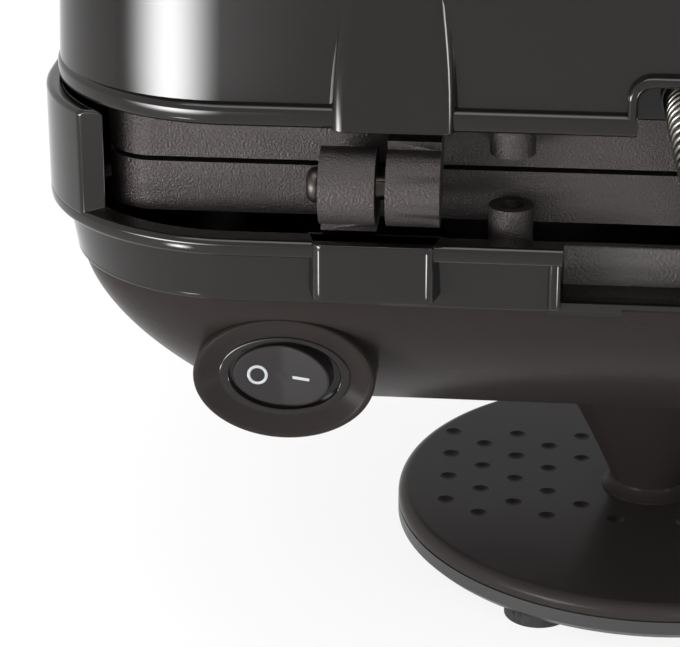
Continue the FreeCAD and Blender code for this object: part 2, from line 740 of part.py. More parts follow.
def ferrule(label, x, z):
    """The collar that holds one end of the conduit."""
    back = rear("recess_back")
    outer = Part.makeCylinder(dim("conduit_radius") + 0.4, 2.5, V(x, back, z), Y_AXIS)
    bore = Part.makeCylinder(dim("conduit_radius") + run, 5, V(x, back - 1, z), Y_AXIS)
    return piece(label, outer.cut(bore))


# Switch
def switch_body():
    face = rear("switch_face") - dim("switch_dish_depth")
    a, b = dim("switch_pocket_a"), dim("switch_pocket_b")
    solid = oval(a + 0.7, b + 0.6, face - 13, face)
    solid = solid.fuse(oval(dim("switch_boss_a") - 4.9, dim("switch_boss_b") - 4.5, face, face + 1.6))
    x, z = switch_x, level("switch_z")
    blades = [box(x + s * 5 - 0.4, x + s * 5 + 0.4, face - 21, face - 12, z - 3, z + 3) for s in SIDES]
    solid = solid.multiFuse(blades)
    return piece("switch_body", solid.cut(oval(a, b, face - 8, face + 5)).removeSplitter())


def switch_pivot():
    return V(switch_x, rear("switch_face") - dim("switch_dish_depth") - 2.6, level("switch_z"))


def switch_rocker():
    """The oval rocker, tipped to its off side, with the two shallow slopes of its face."""
    pivot, tilt = switch_pivot(), dim("rocker_tilt")
    a, b = dim("rocker_a"), dim("rocker_b")
    valley, rear = pivot.y + 2.8, pivot.y - 3.1
    solid = oval(a, b, rear, valley + 6)
    sweep = Part.makeCylinder(dim("switch_pocket_a") - 0.2, 60, V(pivot.x, pivot.y, pivot.z - 30), Z_AXIS)
    solid = solid.common(sweep)
    for side in SIDES:
        slope = box(0, 40, 0, 20, -20, 20)
        if side < 0:
            slope = box(-40, 0, 0, 20, -20, 20)
        slope.rotate(ORIGIN, Z_AXIS, side * tilt)
        slope.translate(V(pivot.x, valley, pivot.z))
        solid = solid.cut(slope)
    solid.rotate(pivot, Z_AXIS, -tilt)
    return piece("switch_rocker", solid)


# Handles and latch
def lower_handle():
    half, bottom, thick = dim("handle_half_width"), level("lip_top") - 2, 11.0
    grip = box(-half, half, lip_front - dim("handle_reach") + 2.5, lip_front, bottom, bottom + thick)
    front = [e for e in grip.Edges if e.BoundBox.YMax < lip_front - 5]
    return piece("lower_handle", grip.makeFillet(3.5, front))


def latch_pivot():
    return V(0, -(dim("body_front") + dim("handle_reach") + 6.5), level("lid_rim") + 13.5)


def upper_handle():
    half, bottom = dim("handle_half_width"), level("lid_rim") + dim("lid_lip_height") + 0.6
    front, root = -(dim("body_front") + dim("handle_reach")), -(dim("body_front") - 24)
    grip = box(-half, half, front, root, bottom, bottom + dim("handle_thickness"))
    grip = grip.makeFillet(4.5, [e for e in grip.Edges if e.BoundBox.YMax < root - 1])
    pivot, ear = latch_pivot(), 4.0
    ears = []
    for side in SIDES:
        x0, x1 = sorted((side * (dim("latch_half_width") + fit), side * (dim("latch_half_width") + ear + fit)))
        ears.append(box(x0, x1, pivot.y, front + 5, pivot.z - 3.6, pivot.z + 3.6).fuse(rod(3.6, x0, x1, pivot.y, pivot.z)))
    grip = grip.multiFuse(ears)
    inside = loft([outline(dim("lid_wall_inset"), level("lid_rim") + 1), outline(
        dim("lid_wall_inset") + dim("lid_draft_inset"), level("lid_top"))], True)
    reach = dim("latch_half_width") + ear + 2
    grip = grip.cut(inside).cut(rod(1.5 + run, -reach, reach, pivot.y, pivot.z))
    return piece("upper_handle", grip.removeSplitter())


def latch_pin():
    pivot = latch_pivot()
    reach = dim("latch_half_width") + 4.0 + fit
    return piece("latch_pin", rod(1.5, -reach, reach, pivot.y, pivot.z))


def latch():
    """The catch on the upper handle, swung clear of the lower handle."""
    pivot, half = latch_pivot(), dim("latch_half_width")
    hook_top = level("lip_top") - 2.6
    blade_y = pivot.y - 3.4
    blade = box(-half, half, blade_y, blade_y + 2.6, hook_top - 3, pivot.z)
    hook = box(-half, half, blade_y, pivot.y + 12, hook_top - 3, hook_top)
    hook = hook.makeChamfer(2.0, [e for e in hook.Edges if e.BoundBox.YMin > pivot.y + 11
                                  and e.BoundBox.ZMax < hook_top - 1])
    solid = union([rod(3.4, -half, half, pivot.y, pivot.z), blade, hook])
    solid = solid.cut(rod(1.5 + run, -half - 1, half + 1, pivot.y, pivot.z))
    solid.rotate(pivot, X_AXIS, -dim("latch_release"))
    return piece("latch", solid)


def build():
    mid_lower = lower_back - dim("ring_boss_height") - dim("heater_radius") - 0.15
    mid_upper = upper_back + dim("ring_boss_height") + dim("heater_radius") + 0.15
    return [
        rubber_feet(), base_tray(), base_cover(), pedestal_neck(), pedestal_bolt(), pedestal_nut(),
        lower_shell(), lower_collar(), cord_gland(), lower_plate(), heater("lower_heater", mid_lower),
        reflector_sheet("lower_reflector", lower_leg_end - reflector), thermostat(), thermal_fuse(),
        terminal_block(),
        plate_screws("lower_plate_screws", level("belly_floor") + 5, lower_leg_end + 9),
        upper_shell(), upper_plate(), heater("upper_heater", mid_upper),
        reflector_sheet("upper_reflector", upper_leg_end),
        plate_screws("upper_plate_screws", upper_face, upper_leg_end + 12),
        lamp("power_lamp", 1), lamp("ready_lamp", -1),
        hinge_pins(), wire_conduit(),
        ferrule("upper_ferrule", dim("conduit_top_x"), CONDUIT_TOP_Z),
        ferrule("lower_ferrule", dim("conduit_low_x"), CONDUIT_LOW_Z),
        switch_body(), switch_rocker(), lower_handle(), upper_handle(), latch_pin(), latch(),
    ]


def centre_frame(pieces):
    """Move every sub-part along Y so that the row's origin lies under the middle of the whole object."""
    conduit = conduit_route().Edges[1]
    rear = conduit.BoundBox.YMax + dim("conduit_radius")
    front = min(v.Point.y for node in pieces if node.Label == "latch" for v in node.Shape.Vertexes)
    row = len(DRIVING) + 1
    sheet.set("A%d" % row, "frame_shift")
    sheet.set("B%d" % row, "%.3f" % (-(front + rear) / 2))
    sheet.setAlias("B%d" % row, "frame_shift")
    doc.recompute()
    for node in pieces:
        node.setExpression("Placement.Base.y", "Dimensions.frame_shift")


nodes = build()
doc.recompute()
centre_frame(nodes)
doc.recompute()
box_all = Part.makeCompound([node.Shape for node in nodes]).BoundBox
print("shift %.3f  Y %.3f to %.3f" % (dim("frame_shift"), box_all.YMin, box_all.YMax))
for obj in doc.Objects:
    if "Invalid" in obj.State or "Error" in obj.State:
        raise RuntimeError("failed: %s %s" % (obj.Label, obj.State))
os.makedirs("parts", exist_ok=True)
for node in nodes:
    if node.Shape.isNull() or not node.Shape.isValid() or not node.Shape.Solids:
        raise RuntimeError("bad shape: " + node.Label)
    node.Shape.exportStep(os.path.join("parts", node.Label + ".step"))
    print("%-20s solids %2d  volume %10.1f" % (node.Label, len(node.Shape.Solids), node.Shape.Volume))
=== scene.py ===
import math

import bpy
from mathutils import Matrix, Vector


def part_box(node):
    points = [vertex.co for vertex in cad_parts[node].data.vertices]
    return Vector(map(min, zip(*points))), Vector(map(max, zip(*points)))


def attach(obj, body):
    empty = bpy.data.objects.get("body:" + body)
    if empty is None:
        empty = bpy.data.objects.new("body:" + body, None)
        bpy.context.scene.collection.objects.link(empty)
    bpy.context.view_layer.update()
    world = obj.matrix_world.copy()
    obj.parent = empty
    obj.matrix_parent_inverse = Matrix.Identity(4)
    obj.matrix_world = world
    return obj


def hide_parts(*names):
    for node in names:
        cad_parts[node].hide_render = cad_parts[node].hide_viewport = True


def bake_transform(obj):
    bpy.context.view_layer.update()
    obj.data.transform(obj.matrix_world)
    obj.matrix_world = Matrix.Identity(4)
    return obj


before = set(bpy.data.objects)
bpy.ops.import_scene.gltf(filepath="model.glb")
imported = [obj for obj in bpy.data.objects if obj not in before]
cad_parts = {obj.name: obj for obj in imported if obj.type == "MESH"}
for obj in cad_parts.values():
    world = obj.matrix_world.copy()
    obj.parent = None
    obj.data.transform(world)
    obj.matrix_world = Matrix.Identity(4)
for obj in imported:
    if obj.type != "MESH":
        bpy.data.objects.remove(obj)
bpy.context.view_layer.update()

MM = 0.001

# Sizes are in millimetres. Depths count from the neck's axis, which stands SHIFT behind the frame's middle.
SHIFT = 21.331
HALF_WIDTH = 124.0
FRONT = -104.0
REAR = 106.0
CORNER = 38.0
CORNER_STEPS = 24
WALL = 2.6

# Heights of the lower housing
BELLY_FLOOR = 66.0
BAND_BOTTOM = 99.0
BAND_TOP = 109.5
LIP_TOP = 113.0
COLLAR_TOP = 133.4

# Heights of the lid
LID_RIM = 134.4
LID_TOP = 186.0

# How far a cutting shape runs past what it cuts
CUT_PAST = 5
# An edge that rises by more than this is upright
STEEP_EDGE = 1
# A face is square to an axis where its normal reaches this far along it, and flat at the second value
SQUARE_NORMAL = 0.9
FLAT_NORMAL = 0.999
# Edges that turn by more degrees than these are rounded by soften, and shaded sharp by finish_piece
ROUNDED_ANGLE = 35
SMOOTH_ANGLE = 32
# How far the large faces rule the smooth shading of the small ones beside them
FACE_WEIGHT = 80
# Corners of a CAD node's triangles that are this near, in metres, are one corner
MERGE_DISTANCE = 0.000002


# Tools for modelling
def deselect():
    """Leave edit mode and select nothing."""
    if bpy.context.object and bpy.context.object.mode != "OBJECT":
        bpy.ops.object.mode_set(mode="OBJECT")
    bpy.ops.object.select_all(action="DESELECT")


def pick(obj):
    """Select one object alone and make it the active one."""
    deselect()
    obj.select_set(True)
    bpy.context.view_layer.objects.active = obj


def settle(obj):
    """Put an object's place into its mesh."""
    pick(obj)
    bpy.ops.object.transform_apply(location=True, rotation=True, scale=True)
    return obj


def frame_point(x, y, z):
    """A point in millimetres from the neck's axis, as a point of the shared frame in metres."""
    return Vector((x, y + SHIFT, z)) * MM


def block(name, x, y, z):
    """A plain box with the given span on each axis."""
    deselect()
    middle = frame_point(sum(x) / 2, sum(y) / 2, sum(z) / 2)
    bpy.ops.mesh.primitive_cube_add(size=1, location=middle)
    obj = bpy.context.object
    obj.name = name
    obj.scale = Vector((x[1] - x[0], y[1] - y[0], z[1] - z[0])) * MM
    return settle(obj)


def sided(side, near_end, far_end):
    """A span across the part, on the side whose sign is given."""
    return sorted((side * near_end, side * far_end))


def drum(name, radius, centre, depth, lying=False, vertices=48):
    """A plain cylinder about its centre point, upright or lying from front to rear."""
    deselect()
    turn = (math.pi / 2, 0, 0) if lying else (0, 0, 0)
    bpy.ops.mesh.primitive_cylinder_add(
        vertices=vertices, radius=radius * MM, depth=depth * MM, location=frame_point(*centre), rotation=turn)
    obj = bpy.context.object
    obj.name = name
    return settle(obj)


def near(value, target, slack=0.01):
    """True where two sizes are the same."""
    return abs(value - target) < slack


def select(obj, kind, test):
    """Enter edit mode with only the edges or faces selected for which test is true."""
    pick(obj)
    bpy.ops.object.mode_set(mode="EDIT")
    bpy.ops.mesh.select_mode(type=kind)
    bpy.ops.mesh.select_all(action="DESELECT")
    bpy.ops.object.mode_set(mode="OBJECT")
    points = obj.data.vertices
    if kind == "EDGE":
        for edge in obj.data.edges:
            edge.select = test([points[i].co / MM for i in edge.vertices])
    else:
        for face in obj.data.polygons:
            face.select = test(face.center / MM, face.normal)
    bpy.ops.object.mode_set(mode="EDIT")


def select_level_face(obj, z):
    """Enter edit mode with only the level face at height z selected."""
    select(obj, "FACE", lambda centre, normal: near(centre.z, z) and abs(normal.z) > SQUARE_NORMAL)


def select_level_edges(obj, z):
    """Enter edit mode with only the edges at height z selected."""
    select(obj, "EDGE", lambda ends: near(ends[0].z, z) and near(ends[1].z, z))


def select_long_edges(obj, z):
    """Enter edit mode with only the edges selected that run from front to rear at height z."""
    select(obj, "EDGE", lambda ends: near(ends[0].x, ends[1].x) and all(near(end.z, z) for end in ends))


def leave_edit():
    """Go back to object mode."""
    bpy.ops.object.mode_set(mode="OBJECT")


def roll_edges(width, segments):
    """Round the selected edges and leave edit mode."""
    bpy.ops.mesh.bevel(
        offset=width * MM, offset_type="OFFSET", segments=segments, affect="EDGES", clamp_overlap=False)
    leave_edit()


def modify(obj, kind, **settings):
    """Add a modifier with its settings and apply it."""
    pick(obj)
    modifier = obj.modifiers.new(kind.lower(), kind)
    for key, value in settings.items():
        setattr(modifier, key, value)
    bpy.ops.object.modifier_apply(modifier=modifier.name)
    return obj


def carve(obj, tool):
    """Cut one shape out of another and throw the tool away."""
    modify(obj, "BOOLEAN", operation="DIFFERENCE", object=tool, solver="EXACT")
    bpy.data.objects.remove(tool)


def soften(obj, width, segments=3):
    """Round the sharp edges of a piece."""
    return modify(
        obj, "BEVEL", width=width * MM, segments=segments, limit_method="ANGLE",
        angle_limit=math.radians(ROUNDED_ANGLE))


def thicken(obj, wall):
    """Give an open shell a wall that grows inwards."""
    return modify(obj, "SOLIDIFY", thickness=wall * MM, offset=-1, use_even_offset=True)


def join(name, parts):
    """Make one object of several."""
    deselect()
    for part in parts:
        part.select_set(True)
    bpy.context.view_layer.objects.active = parts[0]
    bpy.ops.object.join()
    obj = bpy.context.object
    obj.name = name
    return obj


def finish_piece(obj, body, material, slot, nodes=(), angle=SMOOTH_ANGLE, level_faces=False):
    """Smooth a piece, keep its level faces flat if asked, give it its material and hang it on its body."""
    pick(obj)
    bpy.ops.object.shade_smooth_by_angle(angle=math.radians(angle))
    if level_faces:
        select(obj, "FACE", lambda centre, normal: abs(normal.z) > FLAT_NORMAL)
        bpy.ops.mesh.region_to_loop()
        bpy.ops.mesh.mark_sharp()
        leave_edit()
    modify(obj, "WEIGHTED_NORMAL", keep_sharp=True, weight=FACE_WEIGHT)
    obj.data.materials.clear()
    obj.data.materials.append(material)
    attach(obj, body)
    if nodes:
        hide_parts(*nodes)


def smooth_copy(node, body, material, slot, angle=SMOOTH_ANGLE, level_faces=False):
    """A merged, smooth-shaded copy of a CAD node, which stands for it."""
    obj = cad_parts[node].copy()
    obj.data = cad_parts[node].data.copy()
    bpy.context.scene.collection.objects.link(obj)
    obj.parent = None
    obj.matrix_world = Matrix.Identity(4)
    obj.name = node + "_finish"
    pick(obj)
    bpy.ops.object.mode_set(mode="EDIT")
    bpy.ops.mesh.select_all(action="SELECT")
    bpy.ops.mesh.remove_doubles(threshold=MERGE_DISTANCE)
    leave_edit()
    finish_piece(obj, body, material, slot, (node,), angle, level_faces)


# Materials
# Size of the patches in which handling and tool wear change the shine, and by what share
MOTTLE_MM = 14.0
MOTTLE_SHARE = 0.12
# The range that most of a noise pattern's values lie in
NOISE_RANGE = (0.3, 0.7)
GRAIN_DETAIL = 3.0


def linear(hex_colour):
    """An sRGB hex colour as linear red, green, blue and alpha."""
    channels = [int(hex_colour[i:i + 2], 16) / 255 for i in (1, 3, 5)]
    return [c / 12.92 if c <= 0.04045 else ((c + 0.055) / 1.055) ** 2.4 for c in channels] + [1.0]


def add_node(tree, kind, links=(), **settings):
    """Add one shader node with its settings, and link other nodes' outputs to its inputs."""
    node = tree.nodes.new(kind)
    for key, value in settings.items():
        setattr(node, key, value)
    for output, socket in links:
        tree.links.new(output, node.inputs[socket])
    return node


def surface(name, colour, roughness, metallic=0.0, ior=None, grain_mm=None, grain_depth=0.0, relief_mm=0.2):
    """A material whose shine wanders a little.

    Where grain_mm is given it has a fine grain of that size, relief_mm high, with the strength grain_depth.
    """
    material = bpy.data.materials.new(name)
    material.use_nodes = True
    tree = material.node_tree
    shader = tree.nodes["Principled BSDF"]
    shader.inputs["Base Color"].default_value = linear(colour)
    shader.inputs["Metallic"].default_value = metallic
    if ior:
        shader.inputs["IOR"].default_value = ior
    place = add_node(tree, "ShaderNodeTexCoord")
    mottle = add_node(tree, "ShaderNodeTexNoise", [(place.outputs["Object"], "Vector")])
    mottle.inputs["Scale"].default_value = 1 / (MOTTLE_MM * MM)
    shine = add_node(tree, "ShaderNodeMapRange", [(mottle.outputs["Fac"], "Value")])
    shine.inputs["From Min"].default_value = NOISE_RANGE[0]
    shine.inputs["From Max"].default_value = NOISE_RANGE[1]
    shine.inputs["To Min"].default_value = roughness * (1 - MOTTLE_SHARE)
    shine.inputs["To Max"].default_value = roughness * (1 + MOTTLE_SHARE)
    tree.links.new(shine.outputs["Result"], shader.inputs["Roughness"])
    if grain_mm:
        grain = add_node(tree, "ShaderNodeTexNoise", [(place.outputs["Object"], "Vector")])
        grain.inputs["Scale"].default_value = 1 / (grain_mm * MM)
        grain.inputs["Detail"].default_value = GRAIN_DETAIL
        bump = add_node(tree, "ShaderNodeBump", [(grain.outputs["Fac"], "Height")])
        bump.inputs["Strength"].default_value = grain_depth
        bump.inputs["Distance"].default_value = relief_mm * MM
        tree.links.new(bump.outputs["Normal"], shader.inputs["Normal"])
    return material


# Gloss ABS, moulded in a polished tool: almost black, it shows its surroundings like dark glass.
GLOSS = surface("gloss_black_abs", "#100e0d", 0.09, ior=1.38)
# Satin nylon from a spark-eroded tool: a dull dark grey, with its grain drawn coarse enough to show.
SATIN = surface("satin_black_nylon", "#2b2b2b", 0.42, ior=1.5, grain_mm=0.9, grain_depth=0.08)
# Nylon of the rocker, moulded in a blasted tool: a flatter black than the rest of the switch.
ROCKER = surface("flat_black_nylon", "#1a1818", 0.55, ior=1.25)
# Die-cast aluminium with a dark baked coat over the sand-like cast skin: a dull, dark metal.
# The grit of about 0.2 mm is drawn at twice that size, so that it shows.
CAST = surface(
    "coated_cast_aluminium", "#353130", 0.45, metallic=0.6, grain_mm=0.42, grain_depth=1.0, relief_mm=0.3)
# ABS of the bowl under the band and of the neck, from a duller tool than the lid: a soft black.
SEMI_GLOSS = surface("semi_gloss_black_abs", "#211e1d", 0.24, ior=1.1)
# ABS of the base cover, from the same kind of tool: as dull, and a little greyer.
COVER_GREY = surface("grey_black_abs", "#2c2928", 0.24, ior=1.15)
# The floors of the dimples: a rougher black, painted darker than the cover as shade in the hollows.
DIMPLE_PAINTED_SHADE = surface("dimple_painted_shade_abs", "#1f1c1b", 0.5, ior=1.2)
# Spark-eroded nylon in the conduit's recess: grainy, and a lighter grey than the same nylon elsewhere, as
# painted light in the shaded recess. Its grain is drawn coarse enough to show.
GRAINED_PAINTED_LIGHT = surface(
    "grained_nylon_painted_light", "#3b3836", 0.5, ior=1.5, grain_mm=0.6, grain_depth=1.0, relief_mm=0.35)
# Drawn steel of the latch pin and the heating tubes: bright and silvery.
STEEL = surface("bright_steel", "#b9b9b6", 0.28, metallic=1.0)
# Blackened steel of the hinge pins: a soft, dark shine.
DARK_STEEL = surface("blackened_steel", "#45413e", 0.42, metallic=1.0)
# Zinc plate on the fixings and the thermostat: pale and a little dull.
ZINC = surface("zinc_plate", "#a9a8a2", 0.38, metallic=1.0)
# Aluminised sheet of the reflectors: silvery, with a hazy shine.
SHEET = surface("aluminised_sheet", "#b4b6b8", 0.33, metallic=1.0)
# Close-wound spring steel, dark from its heat treatment.
SPRING = surface("spring_steel", "#77756f", 0.33, metallic=1.0)
# Moulded rubber of the feet and the lead bush: black and without shine.
RUBBER = surface("moulded_rubber", "#1b1b1b", 0.75, ior=1.5)
# Glazed steatite of the terminal block and the fuse: cream white with a soft shine.
CERAMIC = surface("glazed_steatite", "#e4ddcc", 0.3, ior=1.5)
# Tinted acrylic lenses: strong colours with a sharp shine.
RED_LENS = surface("red_acrylic", "#b3161a", 0.12, ior=1.49)
GREEN_LENS = surface("green_acrylic", "#2f8f3c", 0.12, ior=1.49)
# Pad-printed ink of the switch marks: pale and flat.
INK = surface("pale_ink", "#868a8d", 0.55, ior=1.5)


# Shapes of the housings
PAD_CUTS = 7
PAD_EDGE_STEPS = 7
PAD_SOFT_EDGE = 0.35
ARCH_STEPS = 8


def rounded_block(name, inset, z):
    """The outline of the housings, moved inwards by inset, as a block over a span of heights."""
    obj = block(name, (inset - HALF_WIDTH, HALF_WIDTH - inset), (FRONT + inset, REAR - inset), z)
    select(obj, "EDGE", lambda ends: near(ends[0].x, ends[1].x) and near(ends[0].y, ends[1].y))
    roll_edges(CORNER - inset, CORNER_STEPS)
    return obj


def spread_face(obj, z, outset):
    """Scale the level face at height z so that it stands outwards by outset."""
    select_level_face(obj, z)
    width = max(v.co.x for v in obj.data.vertices if near(v.co.z / MM, z)) / MM
    depth = (REAR - FRONT) / 2 - (HALF_WIDTH - width)
    bpy.ops.transform.resize(
        value=((width + outset) / width, (depth + outset) / depth, 1),
        center_override=frame_point(0, (REAR + FRONT) / 2, z))
    leave_edit()


def open_face(obj, z):
    """Delete the level face at height z."""
    select_level_face(obj, z)
    bpy.ops.mesh.delete(type="FACE")
    leave_edit()


def ring(name, inset, wall, z, edge):
    """A band around the outline, over a span of heights, with rounded edges."""
    obj = rounded_block(name, inset, z)
    for level in z:
        open_face(obj, level)
    thicken(obj, wall)
    return soften(obj, edge, segments=4)


def drafted_pad(name, x, z, low, high, root, slope, narrow, edge):
    """A hinge pad with rolled side edges.

    Its face leans from the depth low at its foot to the depth high at its top. At the depth root it is wider
    than its face by slope, and its sides curve in upwards by narrow.
    """
    face_depth = root + 0.1
    obj = block(name, x, (root, low), z)
    select(obj, "EDGE", lambda ends: abs(ends[0].z - ends[1].z) > STEEP_EDGE)
    bpy.ops.mesh.subdivide(number_cuts=PAD_CUTS)
    leave_edit()
    for vertex in obj.data.vertices:
        place = vertex.co / MM
        rise = (place.z - z[0]) / (z[1] - z[0])
        side = math.copysign(1, place.x - sum(x) / 2)
        if place.y - SHIFT > face_depth:
            place.y += rise * (high - low)
        else:
            place.x += side * slope
        place.x -= side * narrow * rise ** 2
        vertex.co = place * MM

    def on_face_side(ends):
        steep = abs(ends[0].z - ends[1].z) > STEEP_EDGE
        return steep and min(end.y for end in ends) - SHIFT > face_depth

    select(obj, "EDGE", on_face_side)
    roll_edges(edge, PAD_EDGE_STEPS)
    return soften(obj, PAD_SOFT_EDGE)


def arch(name, half, y, z, corner):
    """A block across the middle, over a span of depths and heights, with rounded upper corners."""
    obj = block(name, (-half, half), y, z)
    select_long_edges(obj, z[1])
    roll_edges(corner, ARCH_STEPS)
    return obj


# Lid
LID_LIP = 4.2
LID_LIP_EDGE = 1.3
LID_ROUND = 22.0
LID_ROUND_STEPS = 16
LID_DRAFT = 1.6
# The wall stands in from the lip by this much at the front and the rear, and by less at the sides
LID_INSET = 2.0
LID_SIDE_INSET = 0.3
LID_WALL_FOOT = LID_RIM + 1
LID_INNER_FACE = REAR - LID_INSET - WALL
LAMP_HOLE_RADIUS = 4.05
LAMP_HOLE_DEPTH = 10
# The notch that the conduit leaves by, with the bead around it
NOTCH_HALF = 10.3
NOTCH_TOP = LID_RIM + 9.6
NOTCH_INNER_END = 94.0
NOTCH_CORNER = 3.0
NOTCH_BEAD = 2.0
NOTCH_BEAD_CORNER = 4.5
NOTCH_BEAD_EDGE = 0.8
# Where a pad begins and ends, from the middle of the lid outwards
LID_PAD_SPAN = (44.05, 65.85)
LID_PAD_HEIGHT = 31


def lid_wall():
    """The lid's drafted wall and rounded top, with holes for the lamps."""
    wall = rounded_block("lid_wall", LID_INSET, (LID_WALL_FOOT, LID_TOP))
    wall.scale.x = (HALF_WIDTH - LID_SIDE_INSET) / (HALF_WIDTH - LID_INSET)
    settle(wall)
    spread_face(wall, LID_TOP, -LID_DRAFT)
    select_level_edges(wall, LID_TOP)
    roll_edges(LID_ROUND, LID_ROUND_STEPS)
    open_face(wall, LID_WALL_FOOT)
    thicken(wall, WALL)
    for lamp in ("power_lamp", "ready_lamp"):
        low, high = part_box(lamp)
        centre = (low + high) / 2 / MM
        place = (centre.x, centre.y - SHIFT, LID_TOP)
        carve(wall, drum("lamp_hole", LAMP_HOLE_RADIUS, place, LAMP_HOLE_DEPTH))
    return wall


def lid_housing():
    """The lid with its lip, the conduit's notch and the pocket behind it, and the two hinge pads."""
    wall = lid_wall()
    lip = ring("lid_lip", 0.0, LID_INSET + WALL, (LID_RIM, LID_RIM + LID_LIP), LID_LIP_EDGE)
    bead_z = (LID_RIM, NOTCH_TOP + NOTCH_BEAD)
    bead = arch(
        "notch_bead", NOTCH_HALF + NOTCH_BEAD, (LID_INNER_FACE, REAR - 0.1), bead_z, NOTCH_BEAD_CORNER)
    room_y = (NOTCH_INNER_END, REAR + CUT_PAST)
    room_z = (LID_RIM - CUT_PAST, NOTCH_TOP)
    for part in (wall, lip, bead):
        carve(part, arch("notch", NOTCH_HALF, room_y, room_z, NOTCH_CORNER))
    soften(bead, NOTCH_BEAD_EDGE, segments=4)
    pocket = block(
        "pocket", (-NOTCH_HALF - WALL, NOTCH_HALF + WALL), (NOTCH_INNER_END - WALL, LID_INNER_FACE + 1),
        (LID_RIM, NOTCH_TOP + WALL))
    carve(pocket, block("pocket_room", (-NOTCH_HALF, NOTCH_HALF), room_y, room_z))
    parts = [wall, lip, pocket, bead]
    for side in (1, -1):
        parts.append(drafted_pad(
            "lid_pad", sided(side, *LID_PAD_SPAN), (LID_RIM, LID_RIM + LID_PAD_HEIGHT), low=REAR + 1.3,
            high=REAR - LID_INSET - 1.0, root=REAR - 4.6, slope=2.0, narrow=4.0, edge=1.7))
    lid = join("lid_housing", parts)
    finish_piece(lid, "lid", GLOSS, "gloss_black", ("upper_shell",))


# Ovals of the switch and of the boss that holds it
SWITCH_X = 76.2
SWITCH_Z = 81.5
OVAL_STEPS = 96
# Half width, half height and depth of each step of an oval, from its flank inwards
BOSS_STEPS = (
    (17.9, 12.8, 100.4), (17.8, 12.7, 101.0), (17.5, 12.4, 101.4), (17.1, 12.0, 101.5), (16.7, 11.7, 101.45),
    (16.3, 11.3, 101.2), (13.4, 8.7, 99.6), (13.2, 8.5, 99.5), (11.75, 7.85, 99.5), (11.75, 7.85, 92.0),
)
BEZEL_STEPS = (
    (12.9, 8.2, 99.5), (12.8, 8.1, 99.75), (12.5, 7.8, 99.85), (11.3, 7.4, 99.85), (11.05, 7.2, 99.7),
    (10.95, 7.12, 99.3), (10.95, 7.12, 92.0),
)
# Depths at which the boss and the bezel begin
BOSS_ROOT = 78
BEZEL_ROOT = 98.6


def switch_oval(name, half_width, half_height, y):
    """An oval bar at the switch's place, over a span of depths."""
    obj = drum(name, 1.0, (0, 0, 0), 1.0, lying=True, vertices=OVAL_STEPS)
    for vertex in obj.data.vertices:
        place = vertex.co / MM - Vector((0, SHIFT, 0))
        depth = y[1] if place.y > 0 else y[0]
        vertex.co = frame_point(SWITCH_X + half_width * place.x, depth, SWITCH_Z + half_height * place.z)
    return obj


def select_rear_face(obj, y):
    """Enter edit mode with only the face selected that looks to the rear at the depth y."""
    def at_rear(centre, normal):
        return near(centre.y - SHIFT, y, slack=0.05) and normal.y > SQUARE_NORMAL

    select(obj, "FACE", at_rear)


def stepped_oval(name, root, steps):
    """An oval bar from the depth root, shaped by drawing its rear face out and in through the steps."""
    half_width, half_height, depth = steps[0]
    obj = switch_oval(name, half_width, half_height, (root, depth))
    select_rear_face(obj, depth)
    for next_width, next_height, next_depth in steps[1:]:
        bpy.ops.mesh.extrude_region_move(TRANSFORM_OT_translate={"value": (0, (next_depth - depth) * MM, 0)})
        bpy.ops.transform.resize(
            value=(next_width / half_width, 1, next_height / half_height),
            center_override=frame_point(SWITCH_X, next_depth, SWITCH_Z))
        half_width, half_height, depth = next_width, next_height, next_depth
    leave_edit()
    return obj


# Lower housing
LIP_OVERHANG = 2.5
LIP_WALL = 5.9
LIP_EDGE = 1.2
COLLAR_WALL = 3.5
COLLAR_EDGE = 1.1
COLLAR_END_EDGE = 2.0
COLLAR_FOOT = LIP_TOP - 1.5
# The collar ends at this depth and leaves the rear of the plates open
COLLAR_REAR = 95.5
# The band leans out upwards by its draft, and the bowl starts a ledge and a step further in and down
BAND_INSET = 2.5
BAND_DRAFT = 1.7
BAND_LEDGE = 1.0
BAND_STEP = 0.3
BOWL_TOP = BAND_TOP + 0.6
BELLY_SPREAD = 29.5
BELLY_CURVE = 1.6
BELLY_STEPS = 28
# The polish of the band ends here
POLISH_END = BAND_BOTTOM - 0.5
# Half width and half height of the opening behind the boss, and the depths it runs between
SWITCH_ROOM = (16.9, 11.8)
SWITCH_ROOM_SPAN = (60, 110)
GLAND_PLACE = (-16, 98, 90)
GLAND_RADIUS = 7.05
GLAND_CUT = 30
SCREW_X = 92
SCREW_Y = 72
SCREW_RADIUS = 4.3
SCREW_CUT = 12
VENT_SPAN = (45, 79)
VENT_PITCH = 11
VENT_HALF = 2
VENTS_EACH_WAY = 2
# The recess that the conduit ends in
RECESS_HALF = 23.0
RECESS_FLOOR = 100.6
RECESS_INNER_END = 94.0
JAMB_DEPTH = 101.5
# The shelf behind the plates, deep between the recess and its bend and shallow outside it
SHELF_TOP = BAND_BOTTOM + 9.5
SHELF_INNER_END = 93.5
SHELF_REAR = 103.4
SHELF_BEND = 95
SHELF_END = 106
SHELF_END_REAR = 97.5
SHELF_THICKNESS = 2.5
SEAT_RADIUS = 5.7
SEAT_X = 33
SEAT_Y = 96.6
SEAT_HEIGHT = 2.4
# The tab under the band
TAB_SPAN = (-5, 12)
TAB_BOTTOM = BAND_BOTTOM - 3
TAB_INNER_END = 98
TAB_REAR = REAR - 2.4
TAB_CHAMFER = 2.2
# Where a pad begins and ends, from the middle of the housing outwards
LOWER_PAD_SPAN = (47.2, 69.5)
LOWER_PAD_FOOT = BAND_BOTTOM + 2.5


